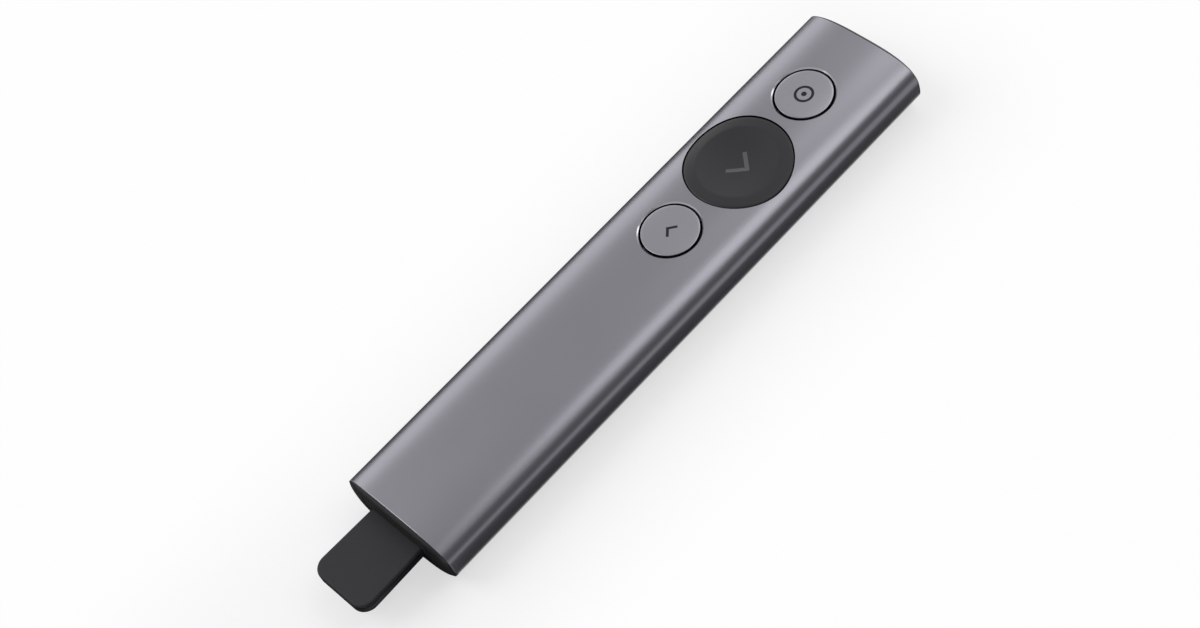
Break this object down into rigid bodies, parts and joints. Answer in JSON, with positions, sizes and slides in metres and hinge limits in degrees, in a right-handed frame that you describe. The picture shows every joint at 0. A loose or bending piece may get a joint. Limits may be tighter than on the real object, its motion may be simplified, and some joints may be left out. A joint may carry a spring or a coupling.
{
  "type": "wireless presentation clicker",
  "caption": "Slim pebble-section hand clicker for slides, with round thumb buttons, a dished main button, black end caps and a pull-out wireless receiver on a rubber strap.",
  "frame": {"origin": "under the middle of the whole length, on the surface that the clicker lies on", "axes": "+X across the body to the right of the thumb, +Y along the body towards the screen, +Z out of the button face"},
  "size_m": [0.0282, 0.1466, 0.0121],
  "materials": {
    "tube_metal": "satin anodised, space grey",
    "button_metal": "satin anodised, space grey",
    "soft_black": "soft-touch black",
    "cap_black": "fine-grained black",
    "strap_rubber": "matt silicone rubber",
    "receiver_black": "fine-grained black",
    "inner_black": "moulded",
    "nub_plastic": "moulded",
    "switch_metal": "stamped",
    "chassis_plastic": "moulded",
    "board_green": "solder mask",
    "steel": "bright",
    "weight_metal": "sintered",
    "cell_foil": "foil pouch",
    "foam": "foam tape",
    "cradle_rubber": "moulded rubber",
    "lead_red": "insulated lead",
    "lead_black": "insulated lead",
    "white_plastic": "moulded",
    "chip_black": "moulded",
    "gold": "gold plated"
  },
  "bodies": {
    "body": {"body_shell": "tube_metal", "front_cap": "cap_black", "rear_cap": "cap_black", "pointer_switch": "switch_metal", "next_switch": "switch_metal", "back_switch": "switch_metal", "chassis": "chassis_plastic", "main_board": "board_green", "board_screw_rear": "steel", "board_screw_front": "steel", "motor_can": "steel", "usb_c_shell": "steel", "shield_can": "steel", "crystal": "steel", "bay_spring_left": "steel", "bay_spring_right": "steel", "battery_cell": "cell_foil", "battery_pad": "foam", "motor_cradle": "cradle_rubber", "battery_lead_plus": "lead_red", "battery_lead_minus": "lead_black", "battery_plug": "white_plastic", "battery_socket": "white_plastic", "antenna": "white_plastic", "charge_chip": "chip_black", "radio_chip": "chip_black", "motion_sensor": "chip_black", "usb_c_tongue": "chip_black"},
    "pointer_button": {"pointer_cap": "button_metal", "pointer_carrier": "inner_black", "pointer_nub": "nub_plastic"},
    "next_button": {"next_cap": "soft_black", "next_carrier": "inner_black", "next_nub": "nub_plastic"},
    "back_button": {"back_cap": "button_metal", "back_carrier": "inner_black", "back_nub": "nub_plastic"},
    "receiver": {"receiver_strap": "strap_rubber", "receiver_housing": "receiver_black", "receiver_plug_shell": "steel", "receiver_tongue": "white_plastic", "receiver_board": "board_green", "receiver_contacts": "gold", "receiver_chip": "chip_black"},
    "rotor": {"motor_shaft": "steel", "motor_weight": "weight_metal"}
  },
  "joints": [
    {"name": "pointer_press", "type": "slide", "parent": "body", "child": "pointer_button", "axis": [0, 0, -1], "range_m": [0, 0.0003], "stiffness_N_per_m": 4000, "springref_m": -0.00015},
    {"name": "next_press", "type": "slide", "parent": "body", "child": "next_button", "axis": [0, 0, -1], "range_m": [0, 0.0003], "stiffness_N_per_m": 4000, "springref_m": -0.00015},
    {"name": "back_press", "type": "slide", "parent": "body", "child": "back_button", "axis": [0, 0, -1], "range_m": [0, 0.0003], "stiffness_N_per_m": 4000, "springref_m": -0.00015},
    {"name": "receiver_pull", "type": "slide", "parent": "body", "child": "receiver", "axis": [0, -1, 0], "range_m": [0, 0.03]},
    {"name": "buzzer_spin", "type": "hinge", "parent": "body", "child": "rotor", "pos_m": [0.0008, 0.00905, 0.0065], "axis": [1, 0, 0], "continuous": true}
  ]
}
